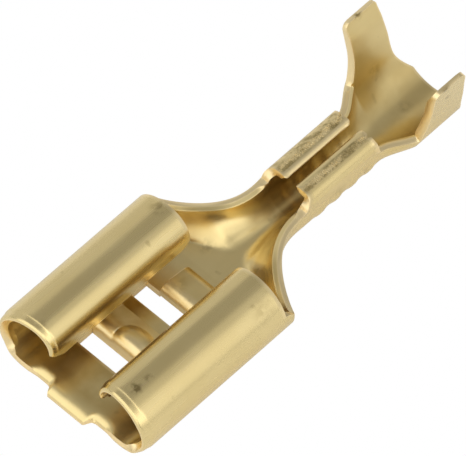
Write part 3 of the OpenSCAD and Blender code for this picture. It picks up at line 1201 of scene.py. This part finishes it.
def bake(holder: bpy.types.Object) -> bpy.types.Mesh:
    """Turns an object's live modifiers into a plain mesh, and removes them and the object."""
    depsgraph = bpy.context.evaluated_depsgraph_get()
    depsgraph.update()
    made = bpy.data.meshes.new_from_object(holder.evaluated_get(depsgraph))
    holder.modifiers.clear()
    bpy.data.objects.remove(holder)
    return made


def run_tree(
    mesh: bpy.types.Mesh,
    tree: bpy.types.NodeTree,
    finish: bpy.types.Material,
    sizes: dict[str, float],
) -> bpy.types.Mesh:
    """Puts a mesh through a Geometry Nodes tree.

    Args:
        mesh: Mesh to work on.
        tree: Tree with named inputs.
        finish: Material that the tree sets.
        sizes: Value of each named size input.

    Returns:
        The plain mesh that comes out.
    """
    holder = placed("tree_holder", mesh)
    step = holder.modifiers.new("tree", "NODES")
    step.node_group = tree
    values: dict[str, object] = {**sizes, "Finish": finish}
    for item in tree.interface.items_tree:
        if item.item_type == "SOCKET" and item.in_out == "INPUT" and item.name in values:
            step[item.identifier] = values[item.name]
    return bake(holder)


# ---- finish ----


def shader_group(
    name: str, sizes: dict[str, float], results: Sequence[str]
) -> tuple[NodeTree, Sockets, Sockets]:
    """Starts a shader node group that turns a place and named sizes into values."""
    ways, values = {"Place": "Vector", **sizes}, dict.fromkeys(results, "Float")
    return node_group(name, "ShaderNodeTree", ways, values)


def rolling_grain() -> bpy.types.NodeTree:
    """Group for the rolled sheet: long streaks, soft clouds, stains, dents, patches and soot."""
    results = ("Streak", "Cloud", "Stain", "Dent", "Patch", "Soot")
    net, ways, out = shader_group("rolling_grain", {"Along": 380.0, "Across": 3400.0}, results)
    place, across = ways["Place"], ways["Across"]
    size = net.add("ShaderNodeCombineXYZ", {0: ways["Along"], 1: across, 2: across})
    drawn = net.vector("MULTIPLY", {0: place, 1: size})
    net.join(net.noise(drawn, 1.0, 1.2), out["Streak"])
    net.join(net.noise(place, 520.0, 2.0), out["Cloud"])
    net.join(net.noise(place, 800.0, 1.0), out["Dent"])
    for label, scale, detail, low, high in (
        ("Stain", 1500.0, 1.5, 0.7, 0.8),
        ("Soot", 3200.0, 2.0, 0.35, 0.6),
        ("Patch", 950.0, 2.5, 0.25, 0.62),
    ):
        net.join(net.step(net.noise(place, scale, detail), low, high), out[label])
    return net.tree


def battered_face() -> bpy.types.NodeTree:
    """Group for metal that the tool has struck: an uneven height and a mottled mask."""
    net, ways, out = shader_group("battered_face", {}, ("Height", "Mottle"))
    drawn = net.vector("MULTIPLY", {0: ways["Place"], 1: (0.45, 1.0, 1.0)})
    fine = net.noise(ways["Place"], 9000.0, 1.0)
    height = net.times(fine, 0.3, net.noise(drawn, 3600.0, 2.0))
    net.join(height, out["Height"])
    net.join(net.step(height, 0.5, 0.8), out["Mottle"])
    return net.tree


def blank_material(name: str) -> tuple[bpy.types.Material, NodeTree]:
    """Makes a material with an empty node tree."""
    made = bpy.data.materials.new(name)
    made.use_nodes = True
    made.node_tree.nodes.clear()
    return made, NodeTree(made.node_tree)


@dataclass(frozen=True)
class BrassFinish:
    """Brass with rolling streaks, small stains, painted shade in hollows, pale edges partly painted
    highlight, and battered, coined faces mottled with painted shade and highlight.
    """

    name: str
    base: Colour = (0.87, 0.71, 0.36)
    deep: Colour = (0.78, 0.61, 0.27)
    # pale: fresh-cut metal on edges, and the painted highlight on edges, noses and struck faces
    pale: Colour = (0.99, 0.80, 0.45)
    # real stains and specks, and the painted shade in the struck mottle
    stain_and_shade: Colour = (0.36, 0.27, 0.11)
    # colour of the painted shade in the hollows
    shade_colour: Colour = (0.53, 0.365, 0.12)
    roughness: float = 0.27
    rougher: float = 0.06
    streak_gloss: float = 0.06
    streak_tone: float = 0.3
    cloud_tone: float = 0.8
    patchy: float = 0.65
    struck_shade: float = 0.75
    struck_shine: float = 0.5
    edge_shine: float = 0.9
    speckled: float = 0.4
    streak_h: float = 0.006
    struck_h: float = 0.4
    edge_h: float = 0.12
    dent_inside: float = 0.9
    dent_outside: float = 0.08
    relief: float = 0.00004
    always_coined: float = 0.0

    def colour(
        self, net: NodeTree, masks: dict[str, Source], mill: Sockets, mottle: Source
    ) -> Source:
        """Works out the colour.

        Args:
            net: Short hand of the material's tree.
            masks: The sheet's own masks.
            mill: Outputs of the rolling grain.
            mottle: Mottle of the battered face.

        Returns:
            The socket that gives the colour.
        """
        coined = masks["coined"]
        cloud = net.times(mill["Cloud"], self.cloud_tone)
        tone = net.times(mill["Streak"], self.streak_tone, cloud)
        colour = net.blend(tone, self.deep, self.base)
        # painted shade in the hollows, broken up by the patch noise
        patch = net.times(mill["Patch"], self.patchy, 1 - self.patchy)
        hollow_shade = net.times(masks["painted_shade"], patch)
        colour = net.blend(hollow_shade, colour, self.shade_colour)
        # painted shade and painted highlight on struck faces, following the mottle of their relief
        shade = net.times(coined, net.minus(1.0, mottle))
        colour = net.blend(net.times(shade, self.struck_shade), colour, self.stain_and_shade)
        shine = net.times(net.times(coined, mottle), self.struck_shine)
        # cut edges partly fresh-cut metal and partly painted highlight; painted highlight on folded
        # noses and curled edges; wear on battered ends
        wear_and_highlight = net.math("MAXIMUM", net.times(masks["edge"], self.edge_shine), shine)
        colour = net.blend(wear_and_highlight, colour, self.pale)
        soot = net.times(masks["smudge"], mill["Soot"])
        speck = net.times(mill["Stain"], self.speckled, soot)
        return net.blend(speck, colour, self.stain_and_shade)

    def height(
        self, net: NodeTree, masks: dict[str, Source], mill: Sockets, blows: Source
    ) -> Source:
        """Works out the height of dents, streaks and blows, which feeds the bump."""
        dent = net.times(masks["inside"], self.dent_inside - self.dent_outside, self.dent_outside)
        height = net.times(mill["Dent"], dent, net.times(mill["Streak"], self.streak_h))
        height = net.times(net.times(masks["coined"], self.struck_h), blows, height)
        return net.times(net.times(masks["edge"], self.edge_h), blows, height)

    def material(
        self, grain: bpy.types.NodeTree, battered: bpy.types.NodeTree
    ) -> bpy.types.Material:
        """Builds the material.

        Args:
            grain: Group with the streaks, clouds and stains.
            battered: Group with the battered height and mottle.

        Returns:
            A node material that reads Object coordinates and the sheet's masks.
        """
        made, net = blank_material(self.name)
        made.diffuse_color = (*self.base, 1)
        where = {"Place": net.add("ShaderNodeTexCoord").outputs["Object"]}
        mill = net.add("ShaderNodeGroup", where, node_tree=grain)
        blows = net.add("ShaderNodeGroup", where, node_tree=battered)
        masks = {
            label: net.add("ShaderNodeAttribute", attribute_name=label).outputs["Fac"]
            for label in ("edge", "inside", "coined", "painted_shade", "smudge")
        }
        masks["coined"] = net.math("MAXIMUM", masks["coined"], self.always_coined)
        smooth = self.roughness - self.streak_gloss / 2
        gloss = net.times(mill.outputs["Streak"], self.streak_gloss, smooth)
        for label in ("inside", "edge", "coined"):
            gloss = net.times(masks[label], self.rougher, gloss)
        height = self.height(net, masks, mill.outputs, blows.outputs["Height"])
        inputs = {
            "Metallic": 1.0,
            "Base Color": self.colour(net, masks, mill.outputs, blows.outputs["Mottle"]),
            "Roughness": gloss,
            "Normal": net.add("ShaderNodeBump", {"Height": height, "Distance": self.relief}),
        }
        metal = net.add("ShaderNodeBsdfPrincipled", inputs)
        net.add("ShaderNodeOutputMaterial", {"Surface": metal})
        return made


# ---- the terminal ----


@dataclass
class SpadeTerminal:
    """The whole terminal, one sheet from the mouth to the rear end."""

    finish: BrassFinish = BrassFinish("satin_brass")
    struck: BrassFinish = BrassFinish("struck_brass", roughness=0.32, always_coined=1.0)
    receptacle: Receptacle = field(default_factory=Receptacle)
    edge_break: float = 0.045
    edge_angle: float = 48.0
    bead_size: float = 0.042
    bead_height: float = 0.012
    bead_pitch: float = 0.08
    bead_lanes: int = 3
    bead_band: float = 0.2
    bead_out: float = 0.04
    bead_front: float = 0.45
    bead_rear: float = 0.32
    bead_sunk: float = 0.004
    rib_sunk: float = 0.001

    def __post_init__(self) -> None:
        """Sets up the zones behind the receptacle."""
        self.throat = Throat(self.receptacle)
        self.barrel = ConductorBarrel(self.throat)
        self.flare = Flare(self.barrel)
        self.grip = InsulationGrip(self.flare)

    def sheet(self) -> bpy.types.Mesh:
        """Bends the sheet through all its zones and gives it its thickness."""
        sheet = SheetMesh(self.receptacle.sheet_t)
        for zone in (self.receptacle, self.throat, self.barrel, self.flare, self.grip):
            zone.build(sheet)
        log.info("sheet: %d outer points, %d quads", len(sheet.points), len(sheet.quads))
        return sheet.thicken()

    def eased(self, mesh: bpy.types.Mesh) -> bpy.types.Mesh:
        """Rounds the cut edges of the sheet a little."""
        holder = placed("edge_holder", mesh)
        step = holder.modifiers.new("ease_edges", "BEVEL")
        step.width = self.edge_break
        step.segments = 2
        step.limit_method = "ANGLE"
        step.angle_limit = math.radians(self.edge_angle)
        return bake(holder)

    def strip_points(self) -> bpy.types.Mesh:
        """Lays out the points of the coining marks on the two strips."""
        barrel = self.barrel
        points: list[Point] = []
        y_out = barrel.throat.barrel_r - barrel.fold_r + self.bead_out
        x, row = barrel.start + self.bead_front, 0
        while x < barrel.end - self.bead_rear:
            for side in (-1, 1):
                for lane in range(self.bead_lanes):
                    share = (lane + 0.5 * (row % 2)) / (self.bead_lanes - 0.4)
                    y = mix(y_out - self.bead_band, y_out, share)
                    points.append((x, side * y, barrel.height - self.bead_sunk))
            x += self.bead_pitch
            row += 1
        mesh = bpy.data.meshes.new("strip_points")
        mesh.from_pydata(points, [], [])
        return mesh

    def build(self) -> bpy.types.Object:
        """Makes the finished terminal.

        Returns:
            The object in metres, placed in the mesh.
        """
        groups = rolling_grain(), battered_face()
        brass, struck = self.finish.material(*groups), self.struck.material(*groups)
        rib = {"Height": self.throat.rib_h - self.rib_sunk}
        ribbed = run_tree(self.eased(self.sheet()), rib_press(), brass, rib)
        bead = {"Size": self.bead_size, "Height": self.bead_height}
        beads = run_tree(self.strip_points(), strip_marks(), struck, bead)
        mesh = merge("terminal_sheet", [(ribbed, brass), (beads, struck)])
        shift = CAD_BOX[0][0] + self.receptacle.lip_reach * MM
        mesh.transform(Matrix.Translation((shift, 0, 0)) @ Matrix.Scale(MM, 4))
        mesh.shade_smooth()
        return placed("brass_terminal", mesh)


def merge(
    name: str, parts: Sequence[tuple[bpy.types.Mesh, bpy.types.Material]]
) -> bpy.types.Mesh:
    """Joins meshes into one, each with its own material."""
    work = bmesh.new()
    made = bpy.data.meshes.new(name)
    for index, (mesh, finish) in enumerate(parts):
        mesh.polygons.foreach_set("material_index", [index] * len(mesh.polygons))
        work.from_mesh(mesh)
        made.materials.append(finish)
    work.to_mesh(made)
    work.free()
    return made


# ---- stage ----


@dataclass(frozen=True)
class Softbox:
    """A soft rectangular light that faces the terminal, its angles in degrees."""

    name: str
    side: float
    tilt: float
    wide: float
    high: float
    glow: float
    away: float = 400.0

    def span(self, degrees: float) -> float:
        """Size in metres that fills an angle seen from the terminal."""
        return 2 * self.away * math.tan(math.radians(degrees) / 2) * MM

    def build(self) -> None:
        """Hangs the light on its place, side and tilt being degrees from straight up."""
        side, tilt = math.radians(self.side), math.radians(self.tilt)
        across, up = math.sin(side), math.cos(side)
        aim = Vector((math.sin(tilt), across * math.cos(tilt), up * math.cos(tilt)))
        along = Vector((math.cos(tilt), -across * math.sin(tilt), -up * math.sin(tilt)))
        lamp = bpy.data.lights.new(self.name, "AREA")
        lamp.shape = "RECTANGLE"
        lamp.size, lamp.size_y = self.span(self.wide), self.span(self.high)
        lamp.energy = self.glow * 4 * lamp.size * lamp.size_y
        turn = Matrix((along, aim.cross(along), aim)).transposed().to_4x4()
        made = placed(self.name, lamp)
        made.matrix_world = Matrix.Translation(aim * self.away * MM) @ turn


@dataclass(frozen=True)
class Studio:
    """Floor, light and camera, lengths in millimetres and angles in degrees."""

    azimuth: float = -48.1203
    elevation: float = 56.3975
    roll: float = 1.9436
    target: Point = (0.0287, 0.9295, 0.4265)
    distance: float = 330.077
    lens: float = 683.168
    sensor: float = 36.0
    room: float = 0.36
    floor_half: float = 600.0
    floor_grey: float = 0.8
    floor_glow: float = 0.12
    boxes: tuple[Softbox, ...] = (
        Softbox("left_box", 66, 20, 90, 50, 0.2),
        Softbox("right_box", -51, 20, 90, 78, 0.2),
        Softbox("top_box", 0, -50, 76, 100, 0.75),
        Softbox("hot_box", -58, 0, 56, 50, 0.3),
        Softbox("hot_core", -60, 0, 30, 26, 0.45),
    )

    def camera(self) -> None:
        """Makes the camera and gives it to the scene."""
        a, e, r = (math.radians(v) for v in (self.azimuth, self.elevation, self.roll))
        back = Vector((math.sin(a) * math.cos(e), -math.cos(a) * math.cos(e), math.sin(e)))
        right = Vector((math.cos(a), math.sin(a), 0))
        up = back.cross(right)
        side = math.cos(r) * right + math.sin(r) * up
        head = -math.sin(r) * right + math.cos(r) * up
        data = bpy.data.cameras.new("camera")
        data.lens, data.sensor_width, data.sensor_fit = self.lens, self.sensor, "HORIZONTAL"
        data.clip_start, data.clip_end = 0.01, 10
        made = placed("camera", data)
        place = (Vector(self.target) + back * self.distance) * MM
        turn = Matrix((side, head, back)).transposed().to_4x4()
        made.matrix_world = Matrix.Translation(place) @ turn
        bpy.context.scene.camera = made

    def paper(self) -> bpy.types.Material:
        """Makes the floor's paper, which the camera sees as clear white."""
        made, net = blank_material("white_paper")
        inputs = {
            "Base Color": (self.floor_grey, self.floor_grey, self.floor_grey, 1),
            "Roughness": 1.0,
            "Emission Color": (1, 1, 1, 1),
            "Emission Strength": self.floor_glow,
        }
        dull = net.add("ShaderNodeBsdfPrincipled", inputs)
        seen = net.add("ShaderNodeLightPath").outputs["Is Camera Ray"]
        pick = net.add("ShaderNodeMixShader", {0: seen, 1: dull, 2: net.add("ShaderNodeEmission")})
        net.add("ShaderNodeOutputMaterial", {"Surface": pick})
        return made

    def floor(self) -> None:
        """Makes the plain pale floor."""
        size = self.floor_half * MM
        mesh = bpy.data.meshes.new("floor")
        corners = [(-size, -size, 0), (size, -size, 0), (size, size, 0), (-size, size, 0)]
        mesh.from_pydata(corners, [], [(0, 1, 2, 3)])
        mesh.materials.append(self.paper())
        placed("floor", mesh)

    def light(self) -> None:
        """Sets up the soft studio light, a dim room and a few soft boxes."""
        world = bpy.data.worlds.new("studio")
        world.use_nodes = True
        net = NodeTree(world.node_tree)
        seen = net.add("ShaderNodeLightPath").outputs["Is Camera Ray"]
        back = world.node_tree.nodes["Background"].inputs
        net.join(net.times(seen, 1 - self.room, self.room), back["Strength"])
        net.join((1, 1, 1, 1), back["Color"])
        scene = bpy.context.scene
        scene.world = world
        scene.view_settings.view_transform = "Standard"
        scene.view_settings.look = "None"
        for box in self.boxes:
            box.build()


def main() -> None:
    """Builds the terminal and its stage, and reports each piece."""
    logging.basicConfig(level=logging.INFO, format="%(message)s", stream=sys.stdout)
    studio = Studio()
    studio.camera()
    studio.floor()
    studio.light()
    piece = SpadeTerminal().build()
    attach(piece, BODY)
    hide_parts(NODE)
    log.info("%s: %d faces", piece.name, len(piece.data.polygons))


if __name__ == "__main__":
    main()
